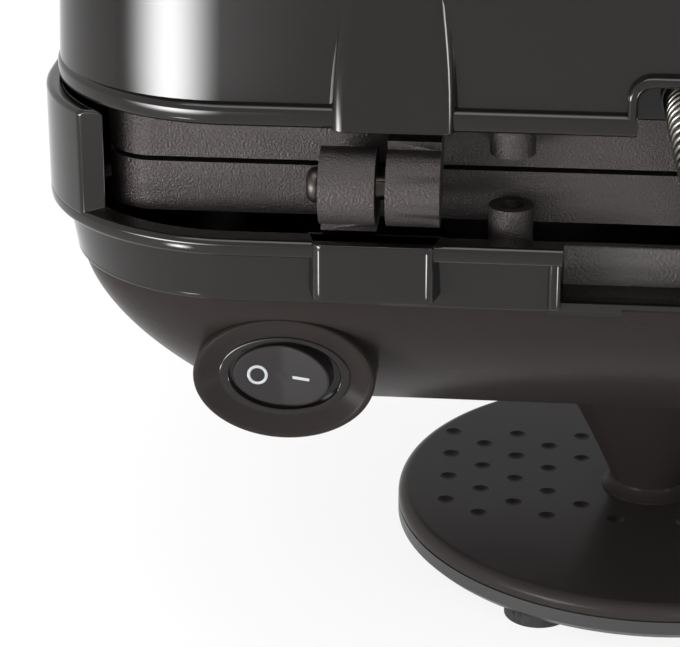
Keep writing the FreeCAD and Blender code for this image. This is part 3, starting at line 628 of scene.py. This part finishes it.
def lower_bowl():
    """The band and the bowl under it, as an open shell."""
    bowl = rounded_block("bowl", BAND_INSET, (BAND_BOTTOM, BOWL_TOP))
    spread_face(bowl, BOWL_TOP, BAND_DRAFT)
    depth = BAND_BOTTOM - BELLY_FLOOR - BAND_STEP
    spread = BELLY_SPREAD - BAND_LEDGE
    select_level_face(bowl, BAND_BOTTOM)
    bpy.ops.mesh.inset(thickness=BAND_LEDGE * MM, depth=BAND_STEP * MM, use_even_offset=True)
    for step in range(BELLY_STEPS):
        start = step / BELLY_STEPS
        end = (step + 1) / BELLY_STEPS
        bpy.ops.mesh.inset(
            thickness=spread * (end ** BELLY_CURVE - start ** BELLY_CURVE) * MM,
            depth=depth * (end - start) * MM, use_even_offset=True)
    leave_edit()
    open_face(bowl, BOWL_TOP)
    return thicken(bowl, WALL)


def cut_bowl(bowl):
    """Cut the bowl's openings for the switch, the lead bush, the plate screws and the air."""
    carve(bowl, switch_oval("switch_room", *SWITCH_ROOM, SWITCH_ROOM_SPAN))
    carve(bowl, drum("gland_room", GLAND_RADIUS, GLAND_PLACE, GLAND_CUT, lying=True))
    for x in (SCREW_X, -SCREW_X):
        for y in (SCREW_Y, -SCREW_Y):
            carve(bowl, drum("screw_room", SCREW_RADIUS, (x, y, BELLY_FLOOR), SCREW_CUT))
    floor_z = (BELLY_FLOOR - CUT_PAST, BELLY_FLOOR + CUT_PAST)
    for side in (1, -1):
        for step in range(-VENTS_EACH_WAY, VENTS_EACH_WAY + 1):
            y = VENT_PITCH * step
            carve(bowl, block("vent", sided(side, *VENT_SPAN), (y - VENT_HALF, y + VENT_HALF), floor_z))


def plate_collar():
    """The collar that stands on the lip around the plates, open at the rear."""
    collar = ring("collar", -LIP_OVERHANG, COLLAR_WALL, (COLLAR_FOOT, COLLAR_TOP), COLLAR_EDGE)
    reach = HALF_WIDTH + CUT_PAST
    gap_z = (COLLAR_FOOT - CUT_PAST, COLLAR_TOP + CUT_PAST)
    carve(collar, block("rear_gap", (-reach, reach), (COLLAR_REAR, REAR + CUT_PAST), gap_z))
    return soften(collar, COLLAR_END_EDGE, segments=6)


def band_tab():
    """The small tab under the band, below the recess."""
    tab = block("band_tab", TAB_SPAN, (TAB_INNER_END, TAB_REAR), (TAB_BOTTOM, BAND_BOTTOM + 1))
    select_long_edges(tab, TAB_BOTTOM)
    roll_edges(TAB_CHAMFER, segments=1)
    return soften(tab, width=0.4)


def rear_side(side):
    """One side of the rear: the shelf, the recess's side wall and jamb, the lug seat and the hinge pad."""
    shelf_z = (SHELF_TOP - SHELF_THICKNESS, SHELF_TOP)
    wall_x = sided(side, RECESS_HALF, RECESS_HALF + WALL)
    wall_z = (RECESS_FLOOR - WALL, SHELF_TOP - 0.2)
    jamb = block("recess_jamb", wall_x, (JAMB_DEPTH, REAR - 0.4), (BAND_BOTTOM + 0.4, BAND_TOP + 0.3))
    seat = drum("lug_seat", SEAT_RADIUS, (side * SEAT_X, SEAT_Y, SHELF_TOP + 0.6), SEAT_HEIGHT)
    return [
        block("shelf", sided(side, RECESS_HALF, SHELF_BEND), (SHELF_INNER_END, SHELF_REAR), shelf_z),
        block("shelf_end", sided(side, SHELF_BEND, SHELF_END), (SHELF_INNER_END, SHELF_END_REAR), shelf_z),
        block("recess_side", wall_x, (RECESS_INNER_END - WALL, SHELF_REAR), wall_z),
        soften(jamb, width=1.0, segments=5),
        soften(seat, width=0.4),
        drafted_pad(
            "lower_pad", sided(side, *LOWER_PAD_SPAN), (LOWER_PAD_FOOT, LIP_TOP), low=REAR + 3.5,
            high=REAR + 3.5, root=REAR - 3.5, slope=1.8, narrow=0.0, edge=1.6),
    ]


def lower_housing():
    """The lower housing: bowl, band, lip, collar, the fittings of its rear and the recess with its liner."""
    bowl = lower_bowl()
    lip = ring("lower_lip", -LIP_OVERHANG, LIP_WALL, (BAND_TOP, LIP_TOP), LIP_EDGE)
    collar = plate_collar()
    recess_x = (-RECESS_HALF, RECESS_HALF)
    recess_cut = (RECESS_INNER_END, REAR + CUT_PAST)
    for part in (bowl, lip):
        carve(part, block("recess", recess_x, recess_cut, (RECESS_FLOOR, LIP_TOP + CUT_PAST)))
    cut_bowl(bowl)
    crease = ring(
        "band_crease", inset=2.4, wall=2.0, z=(BAND_BOTTOM - 0.4, BAND_BOTTOM + 1.5), edge=0.6)
    parts = [bowl, lip, collar, crease, band_tab(), stepped_oval("switch_boss", BOSS_ROOT, BOSS_STEPS)]
    parts += rear_side(1)
    parts += rear_side(-1)
    floor_z = (RECESS_FLOOR - WALL, RECESS_FLOOR)
    parts.append(block("recess_floor", recess_x, (RECESS_INNER_END, SHELF_REAR), floor_z))
    liner_y = (RECESS_INNER_END - WALL, RECESS_INNER_END)
    liner = block("recess_liner", recess_x, liner_y, (RECESS_FLOOR - WALL, SHELF_TOP))
    # The liner's lighter grey is painted light in the shaded recess
    finish_piece(soften(liner, width=0.5), "base", GRAINED_PAINTED_LIGHT, "satin_black")
    housing = join("lower_housing", parts)
    finish_piece(housing, "base", GLOSS, "gloss_black", ("lower_shell", "lower_collar"))
    housing.data.materials.append(SEMI_GLOSS)
    for face in housing.data.polygons:
        if face.center.z / MM < POLISH_END:
            face.material_index = 1


# Base
BASE_RADIUS = 60.0
BASE_STEPS = 160
COVER_BOTTOM = 7.5
COVER_TOP = 11.2
COVER_EDGE = 2.6
COVER_EDGE_STEPS = 8
COVER_ANGLE = 24
# The groove between the tray and the cover, and the height of the ring that closes it inside
GROOVE_HEIGHT = 0.5
GROOVE_DEPTH = 0.5
GROOVE_FLOOR = 0.8
DIMPLE_COLUMN = 8.0
DIMPLE_PITCH = 12.4
DIMPLE_RADIUS = 2.1
DIMPLE_DEPTH = 0.5
# The dimples keep clear of the neck and of the rim, and lie between two depths
DIMPLE_NECK_ROOM = 17
DIMPLE_RIM_ROOM = 5
DIMPLE_FIELD = (-28, 20)
# The cover is flat inside this radius
FLAT_RADIUS = BASE_RADIUS - 4


def dimple_places():
    """The places of the dimples, in columns of which every second one is moved by half a pitch."""
    places = []
    count = int(BASE_RADIUS / DIMPLE_COLUMN) + 2
    for column in range(-count, count + 1):
        for row in range(-count, count + 1):
            x = column * DIMPLE_COLUMN
            y = (row + 0.5 * (column % 2)) * DIMPLE_PITCH
            on_cover = DIMPLE_NECK_ROOM < math.hypot(x, y) < BASE_RADIUS - DIMPLE_RIM_ROOM
            if on_cover and DIMPLE_FIELD[0] < y < DIMPLE_FIELD[1]:
                places.append((x, y))
    return places


def base_cover():
    """The round cover with a rolled edge and rows of shallow dimples across its middle."""
    plate_middle = (COVER_BOTTOM + GROOVE_HEIGHT + COVER_TOP) / 2
    plate_height = COVER_TOP - COVER_BOTTOM - GROOVE_HEIGHT
    cover = drum("base_top", BASE_RADIUS, (0, 0, plate_middle), plate_height, vertices=BASE_STEPS)
    select_level_edges(cover, COVER_TOP)
    roll_edges(COVER_EDGE, COVER_EDGE_STEPS)
    ball_radius = (DIMPLE_RADIUS ** 2 + DIMPLE_DEPTH ** 2) / (2 * DIMPLE_DEPTH)
    balls = []
    for x, y in dimple_places():
        deselect()
        bpy.ops.mesh.primitive_uv_sphere_add(
            segments=20, ring_count=16, radius=ball_radius * MM,
            location=frame_point(x, y, COVER_TOP + ball_radius - DIMPLE_DEPTH))
        balls.append(settle(bpy.context.object))
    carve(cover, join("dimples", balls))
    groove_middle = COVER_BOTTOM + GROOVE_FLOOR / 2
    groove = drum(
        "base_groove", BASE_RADIUS - GROOVE_DEPTH, (0, 0, groove_middle), GROOVE_FLOOR, vertices=BASE_STEPS)
    cover = join("base_cover_finish", [cover, groove])
    finish_piece(cover, "base", COVER_GREY, "gloss_black", ("base_cover",), COVER_ANGLE)
    # The dimple floors take the darker colour, which is painted shade in the hollows
    cover.data.materials.append(DIMPLE_PAINTED_SHADE)
    for face in cover.data.polygons:
        place = face.center / MM
        on_flat = math.hypot(place.x, place.y - SHIFT) < FLAT_RADIUS
        if on_flat and COVER_TOP - DIMPLE_DEPTH - 0.1 < place.z < COVER_TOP - 0.02:
            face.material_index = 1


# Radius and height of the neck's foot, waist and top, which one smooth sweep runs through
NECK_SWEEP = ((9.0, 14.2), (17.0, 31.0), (37.0, 63.0))
NECK_STEPS = 24
# Radius and height, over the cover, of the flange at the foot and of the fillet on it
NECK_FLANGE = (11.0, 0.4)
NECK_FILLET = ((9.9, 1.2), (9.1, 2.4))


def neck_radius(z):
    """The neck's radius at a height, on the parabola through its foot, waist and top."""
    (r0, z0), (r1, z1), (r2, z2) = NECK_SWEEP
    radius = r0 * (z - z1) * (z - z2) / ((z0 - z1) * (z0 - z2))
    radius += r1 * (z - z0) * (z - z2) / ((z1 - z0) * (z1 - z2))
    radius += r2 * (z - z0) * (z - z1) / ((z2 - z0) * (z2 - z1))
    return radius


def neck():
    """The flared neck between the base and the bowl."""
    last_radius, flange = NECK_FLANGE
    last_z = COVER_TOP + flange
    obj = drum("neck_finish", last_radius, (0, 0, COVER_TOP + flange / 2), flange, vertices=96)
    select_level_face(obj, last_z)
    steps = [(radius, COVER_TOP + height) for radius, height in NECK_FILLET]
    foot = NECK_SWEEP[0][1]
    top_radius, top = NECK_SWEEP[-1]
    for step in range(NECK_STEPS + 1):
        z = foot + (top - foot) * step / NECK_STEPS
        steps.append((neck_radius(z), z))
    steps.append((top_radius, BELLY_FLOOR))
    for radius, z in steps:
        bpy.ops.mesh.extrude_region_move(TRANSFORM_OT_translate={"value": (0, 0, (z - last_z) * MM)})
        scale = radius / last_radius
        bpy.ops.transform.resize(value=(scale, scale, 1), center_override=frame_point(0, 0, z))
        last_radius = radius
        last_z = z
    leave_edit()
    finish_piece(obj, "base", SEMI_GLOSS, "gloss_black", ("pedestal_neck",))


# Conduit
CONDUIT_RADIUS = 4.5
CONDUIT_TOP = Vector((1.0, 97.0, 138.9))
CONDUIT_LOW = Vector((-9.0, 97.0, 105.6))
# Length of the straight run at each end
CONDUIT_STRAIGHT = 2.6
# Half the thickness of the wire
COIL_WIRE = 0.65


def coil():
    """The conduit as close-wound turns along its bow from the lid to the recess."""
    middle = (CONDUIT_TOP + CONDUIT_LOW) / 2
    radius = (CONDUIT_TOP - CONDUIT_LOW).length / 2
    up = (CONDUIT_TOP - CONDUIT_LOW).normalized()
    back = Vector((0, 1, 0))
    bow = math.pi * radius
    length = bow + 2 * CONDUIT_STRAIGHT
    turns = int(length / (2 * COIL_WIRE))
    parts = []
    for turn in range(turns):
        along = (turn + 0.5) * length / turns - CONDUIT_STRAIGHT
        angle = min(max(along / radius, 0), math.pi)
        place = middle + radius * (up * math.cos(angle) + back * math.sin(angle))
        tangent = back * math.cos(angle) - up * math.sin(angle)
        if along < 0:
            place += back * along
        if along > bow:
            place -= back * (along - bow)
        facing = tangent.to_track_quat("Z", "Y").to_euler()
        deselect()
        bpy.ops.mesh.primitive_torus_add(
            major_radius=(CONDUIT_RADIUS - COIL_WIRE) * MM, minor_radius=COIL_WIRE * MM, major_segments=28,
            minor_segments=8, location=frame_point(*place), rotation=facing)
        parts.append(settle(bpy.context.object))
    obj = join("spring_conduit", parts)
    pick(obj)
    bpy.ops.object.shade_smooth()
    obj.data.materials.append(SPRING)
    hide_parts("wire_conduit")
    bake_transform(obj)


# Switch
CASE_SIZE = (11.5, 7.6)
CASE_SPAN = (86.6, 91.8)
BLADE_X = 5
BLADE_HALF_THICKNESS = 0.4
BLADE_HALF_HEIGHT = 3
BLADE_SPAN = (78.6, 87.5)
ROCKER_PIVOT = Vector((SWITCH_X, 96.9, SWITCH_Z))
ROCKER_SIZE = (9.75, 6.4)
ROCKER_BACK = 3.1
ROCKER_EDGE = 0.45
# Angle at which the rocker rests and at which each half of its face slopes up from the valley
ROCKER_TILT = 8.0
ROCKER_VALLEY = 2.8
VALLEY_ROUND = 0.6
ROCKER_RINGS = 10
# The marks: how far each is sunk and flattened, and how far from the valley it lies
MARK_SINK = 0.06
MARK_FLATNESS = 0.35
RING_RADIUS = 1.75
RING_LINE = 0.3
RING_PLACE = 4.9
DASH_SIZE = (3.5, 0.24, 0.6)
DASH_PLACE = -3.9


def switch_shell():
    """The switch's own body: a flush bezel, the case behind it and two terminal blades."""
    parts = [stepped_oval("bezel", BEZEL_ROOT, BEZEL_STEPS), switch_oval("case", *CASE_SIZE, CASE_SPAN)]
    blade_z = (SWITCH_Z - BLADE_HALF_HEIGHT, SWITCH_Z + BLADE_HALF_HEIGHT)
    for side in (1, -1):
        x = SWITCH_X + side * BLADE_X
        blade_x = (x - BLADE_HALF_THICKNESS, x + BLADE_HALF_THICKNESS)
        parts.append(block("blade", blade_x, BLADE_SPAN, blade_z))
    finish_piece(join("switch_shell", parts), "base", GLOSS, "satin_black", ("switch_body",))


def rocker():
    """The oval rocker with its shallow valley, tipped to its off side."""
    valley = ROCKER_PIVOT.y + ROCKER_VALLEY
    obj = switch_oval("rocker_face", *ROCKER_SIZE, (ROCKER_PIVOT.y - ROCKER_BACK, valley))
    select_rear_face(obj, valley)
    centre = frame_point(SWITCH_X, valley, SWITCH_Z)
    for left in range(ROCKER_RINGS, 1, -1):
        bpy.ops.mesh.extrude_region_move(TRANSFORM_OT_translate={"value": (0, 0, 0)})
        share = (left - 1) / left
        bpy.ops.transform.resize(value=(share, 1, share), center_override=centre)
    leave_edit()
    rise = math.tan(math.radians(ROCKER_TILT))
    for vertex in obj.data.vertices:
        if near(vertex.co.y / MM - SHIFT, valley):
            across = vertex.co.x / MM - SWITCH_X
            vertex.co.y += rise * (math.hypot(across, VALLEY_ROUND) - VALLEY_ROUND) * MM
    soften(obj, ROCKER_EDGE, segments=4)
    pivot = Matrix.Translation(frame_point(*ROCKER_PIVOT))
    obj.matrix_world = pivot @ Matrix.Rotation(math.radians(-ROCKER_TILT), 4, "Z") @ pivot.inverted()
    settle(obj)
    finish_piece(obj, "rocker", ROCKER, "satin_black", ("switch_rocker",))


def lay_on_rocker(obj, slope_side):
    """Lay a flat mark, made around the origin in X and Z, on one slope of the rocker's face."""
    face_turn = Matrix.Rotation(math.radians(slope_side * ROCKER_TILT), 4, "Z")
    rest_turn = Matrix.Rotation(math.radians(-ROCKER_TILT), 4, "Z")
    valley = Matrix.Translation(Vector((0, ROCKER_VALLEY - MARK_SINK, 0)) * MM)
    pivot = Matrix.Translation(frame_point(*ROCKER_PIVOT))
    obj.matrix_world = pivot @ rest_turn @ valley @ face_turn
    settle(obj)


def switch_marks():
    """The ring and the dash on the rocker."""
    deselect()
    bpy.ops.mesh.primitive_torus_add(
        major_radius=RING_RADIUS * MM, minor_radius=RING_LINE * MM, major_segments=40, minor_segments=8,
        rotation=(math.pi / 2, 0, 0))
    ring_mark = settle(bpy.context.object)
    deselect()
    bpy.ops.mesh.primitive_cube_add(size=1)
    dash = bpy.context.object
    dash.scale = Vector(DASH_SIZE) * MM
    settle(dash)
    soften(dash, width=0.1, segments=2)
    for mark, offset, side in ((ring_mark, RING_PLACE, 1), (dash, DASH_PLACE, -1)):
        for vertex in mark.data.vertices:
            vertex.co.y *= MARK_FLATNESS
            vertex.co.x += offset * MM
        lay_on_rocker(mark, side)
    marks = join("switch_marks", [ring_mark, dash])
    finish_piece(marks, "rocker", INK, "satin_black")


# The runs of the ring moulds meet at 36 degrees and are shaded as one curve
MOULD_ANGLE = 40

# Build
lid_housing()
lower_housing()
base_cover()
neck()
coil()
switch_shell()
rocker()
switch_marks()
for node, body in (("lower_plate", "base"), ("upper_plate", "lid")):
    smooth_copy(node, body, CAST, "coated_cast", MOULD_ANGLE, level_faces=True)
for node, body, material, slot in (
    ("base_tray", "base", SATIN, "satin_black"),
    ("hinge_pins", "base", DARK_STEEL, "steel"),
    ("lower_handle", "base", GLOSS, "gloss_black"),
    ("upper_handle", "lid", GLOSS, "gloss_black"),
    ("latch", "latch", SATIN, "satin_black"),
    ("power_lamp", "lid", RED_LENS, "red_lens"),
    ("ready_lamp", "lid", GREEN_LENS, "green_lens"),
    ("rubber_feet", "base", RUBBER, "rubber"),
    ("cord_gland", "base", RUBBER, "rubber"),
):
    smooth_copy(node, body, material, slot)
for material, nodes in (
    (ZINC, ("pedestal_bolt", "pedestal_nut", "thermostat", "lower_plate_screws", "upper_plate_screws")),
    (STEEL, ("lower_heater", "upper_heater", "latch_pin")),
    (SHEET, ("lower_reflector", "upper_reflector")),
    (CERAMIC, ("thermal_fuse", "terminal_block")),
    (SATIN, ("upper_ferrule", "lower_ferrule")),
):
    for node in nodes:
        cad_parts[node].data.materials.clear()
        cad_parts[node].data.materials.append(material)


# Studio, in metres
# Strength of the white room. The faded ends of the cards glow as much, so that they don't show in the gloss.
ROOM_LIGHT = 0.95
# Share of the paper's look that is plain white, which keeps its shadow faint
PAPER_WHITE = 0.85
FLOOR_SIZE = 8
# The cards face the rear corner, and the softbox the middle of the part
CARD_AIM = (0.11, 0.11)
SOFTBOX_AIM = (0, 0.05, 0.13)
SOFTBOX_PLACE = (0.1, 0.3, 1.3)
SOFTBOX_SIZE = 0.9
SOFTBOX_POWER = 9.0
# Fades of a card: an axis of the card, and where on it the glow is dark and where it is bright
FADED_ENDS = (("Y", -1.0, -0.4), ("Y", 1.0, 0.4))
FADED_SIDES = (("X", 1.0, 0.0), ("X", -1.0, 0.0))


def paper():
    """White sweep paper: white to the camera, in reflections and through lenses, with a faint shadow."""
    material = surface("white_paper", "#f6f6f6", 0.9)
    tree = material.node_tree
    path = add_node(tree, "ShaderNodeLightPath")
    seen = path.outputs["Is Camera Ray"]
    for ray in ("Is Glossy Ray", "Is Transmission Ray"):
        either = add_node(tree, "ShaderNodeMath", [(seen, 0), (path.outputs[ray], 1)], operation="MAXIMUM")
        seen = either.outputs[0]
    share = add_node(tree, "ShaderNodeMath", [(seen, 0)], operation="MULTIPLY")
    share.inputs[1].default_value = PAPER_WHITE
    white = add_node(tree, "ShaderNodeEmission")
    mix = add_node(tree, "ShaderNodeMixShader", [
        (share.outputs[0], 0), (tree.nodes["Principled BSDF"].outputs[0], 1), (white.outputs[0], 2)])
    tree.links.new(mix.outputs[0], tree.nodes["Material Output"].inputs["Surface"])
    return material


def glowing_card(name, place, half_width, half_height, strength, fades):
    """An upright glowing card that faces the rear corner and fades towards its edges."""
    deselect()
    aim = Vector((*CARD_AIM, place[2]))
    turn = (aim - Vector(place)).to_track_quat("Z", "Y").to_euler()
    bpy.ops.mesh.primitive_plane_add(size=2, location=place, rotation=turn)
    card = bpy.context.object
    card.name = name
    card.scale = (half_width, half_height, 1)
    card.visible_camera = False
    material = bpy.data.materials.new(name + "_glow")
    material.use_nodes = True
    tree = material.node_tree
    here = add_node(tree, "ShaderNodeTexCoord")
    axes = add_node(tree, "ShaderNodeSeparateXYZ", [(here.outputs["Object"], 0)])
    glow = None
    for axis, dark, bright in fades:
        fade = add_node(
            tree, "ShaderNodeMapRange", [(axes.outputs[axis], 0)], interpolation_type="SMOOTHSTEP")
        fade.inputs["From Min"].default_value = dark
        fade.inputs["From Max"].default_value = bright
        if glow:
            both = [(glow.outputs[0], 0), (fade.outputs[0], 1)]
            fade = add_node(tree, "ShaderNodeMath", both, operation="MULTIPLY")
        glow = fade
    power = add_node(tree, "ShaderNodeMath", [(glow.outputs[0], 0)], operation="MULTIPLY_ADD")
    power.inputs[1].default_value = strength
    power.inputs[2].default_value = ROOM_LIGHT
    shine = add_node(tree, "ShaderNodeEmission", [(power.outputs[0], "Strength")])
    tree.links.new(shine.outputs[0], tree.nodes["Material Output"].inputs["Surface"])
    card.data.materials.append(material)


def studio():
    """A white room with a paper floor, glowing cards and one softbox overhead."""
    scene = bpy.context.scene
    scene.view_settings.view_transform = "Standard"
    world = bpy.data.worlds.new("studio")
    world.use_nodes = True
    world.node_tree.nodes["Background"].inputs["Color"].default_value = linear("#ffffff")
    world.node_tree.nodes["Background"].inputs["Strength"].default_value = ROOM_LIGHT
    scene.world = world
    deselect()
    bpy.ops.mesh.primitive_plane_add(size=FLOOR_SIZE, location=(0, 0, 0))
    floor = bpy.context.object
    floor.name = "floor"
    floor.data.materials.append(paper())
    glowing_card(
        "left_card", (0.287, 0.355, 0.08), half_width=0.26, half_height=0.045, strength=38.0,
        fades=FADED_SIDES + FADED_SIDES + FADED_ENDS)
    glowing_card(
        "right_card", (-0.5, 0.42, 0.14), half_width=0.08, half_height=0.1, strength=24.0,
        fades=FADED_SIDES + FADED_ENDS)
    for name, place in (("left_strip", (0.224, 0.309, 0.017)), ("right_strip", (-0.08, 0.332, 0.017))):
        glowing_card(name, place, half_width=0.04, half_height=0.012, strength=40.0, fades=FADED_SIDES)
    deselect()
    bpy.ops.object.light_add(type="AREA", location=SOFTBOX_PLACE)
    lamp = bpy.context.object
    lamp.name = "top_softbox"
    lamp.data.shape = "RECTANGLE"
    lamp.data.size = SOFTBOX_SIZE
    lamp.data.size_y = SOFTBOX_SIZE
    lamp.data.energy = SOFTBOX_POWER
    lamp.rotation_euler = (Vector(SOFTBOX_AIM) - Vector(SOFTBOX_PLACE)).to_track_quat("-Z", "Y").to_euler()


# The camera's place in millimetres, its turns in degrees and its lens
CAMERA_PLACE = (24.9, 541.6, 282.8)
CAMERA_TILT = 66.85
CAMERA_TURN = 185.22
CAMERA_LENS = 132.35


def camera():
    """The photograph's view: from behind and above, a little to one side, with a long lens."""
    deselect()
    turn = (math.radians(CAMERA_TILT), 0, math.radians(CAMERA_TURN))
    bpy.ops.object.camera_add(location=frame_point(*CAMERA_PLACE), rotation=turn)
    view = bpy.context.object
    view.data.sensor_fit = "HORIZONTAL"
    view.data.sensor_width = 36.0
    view.data.lens = CAMERA_LENS
    view.data.clip_start = 0.01
    bpy.context.scene.camera = view


studio()
camera()
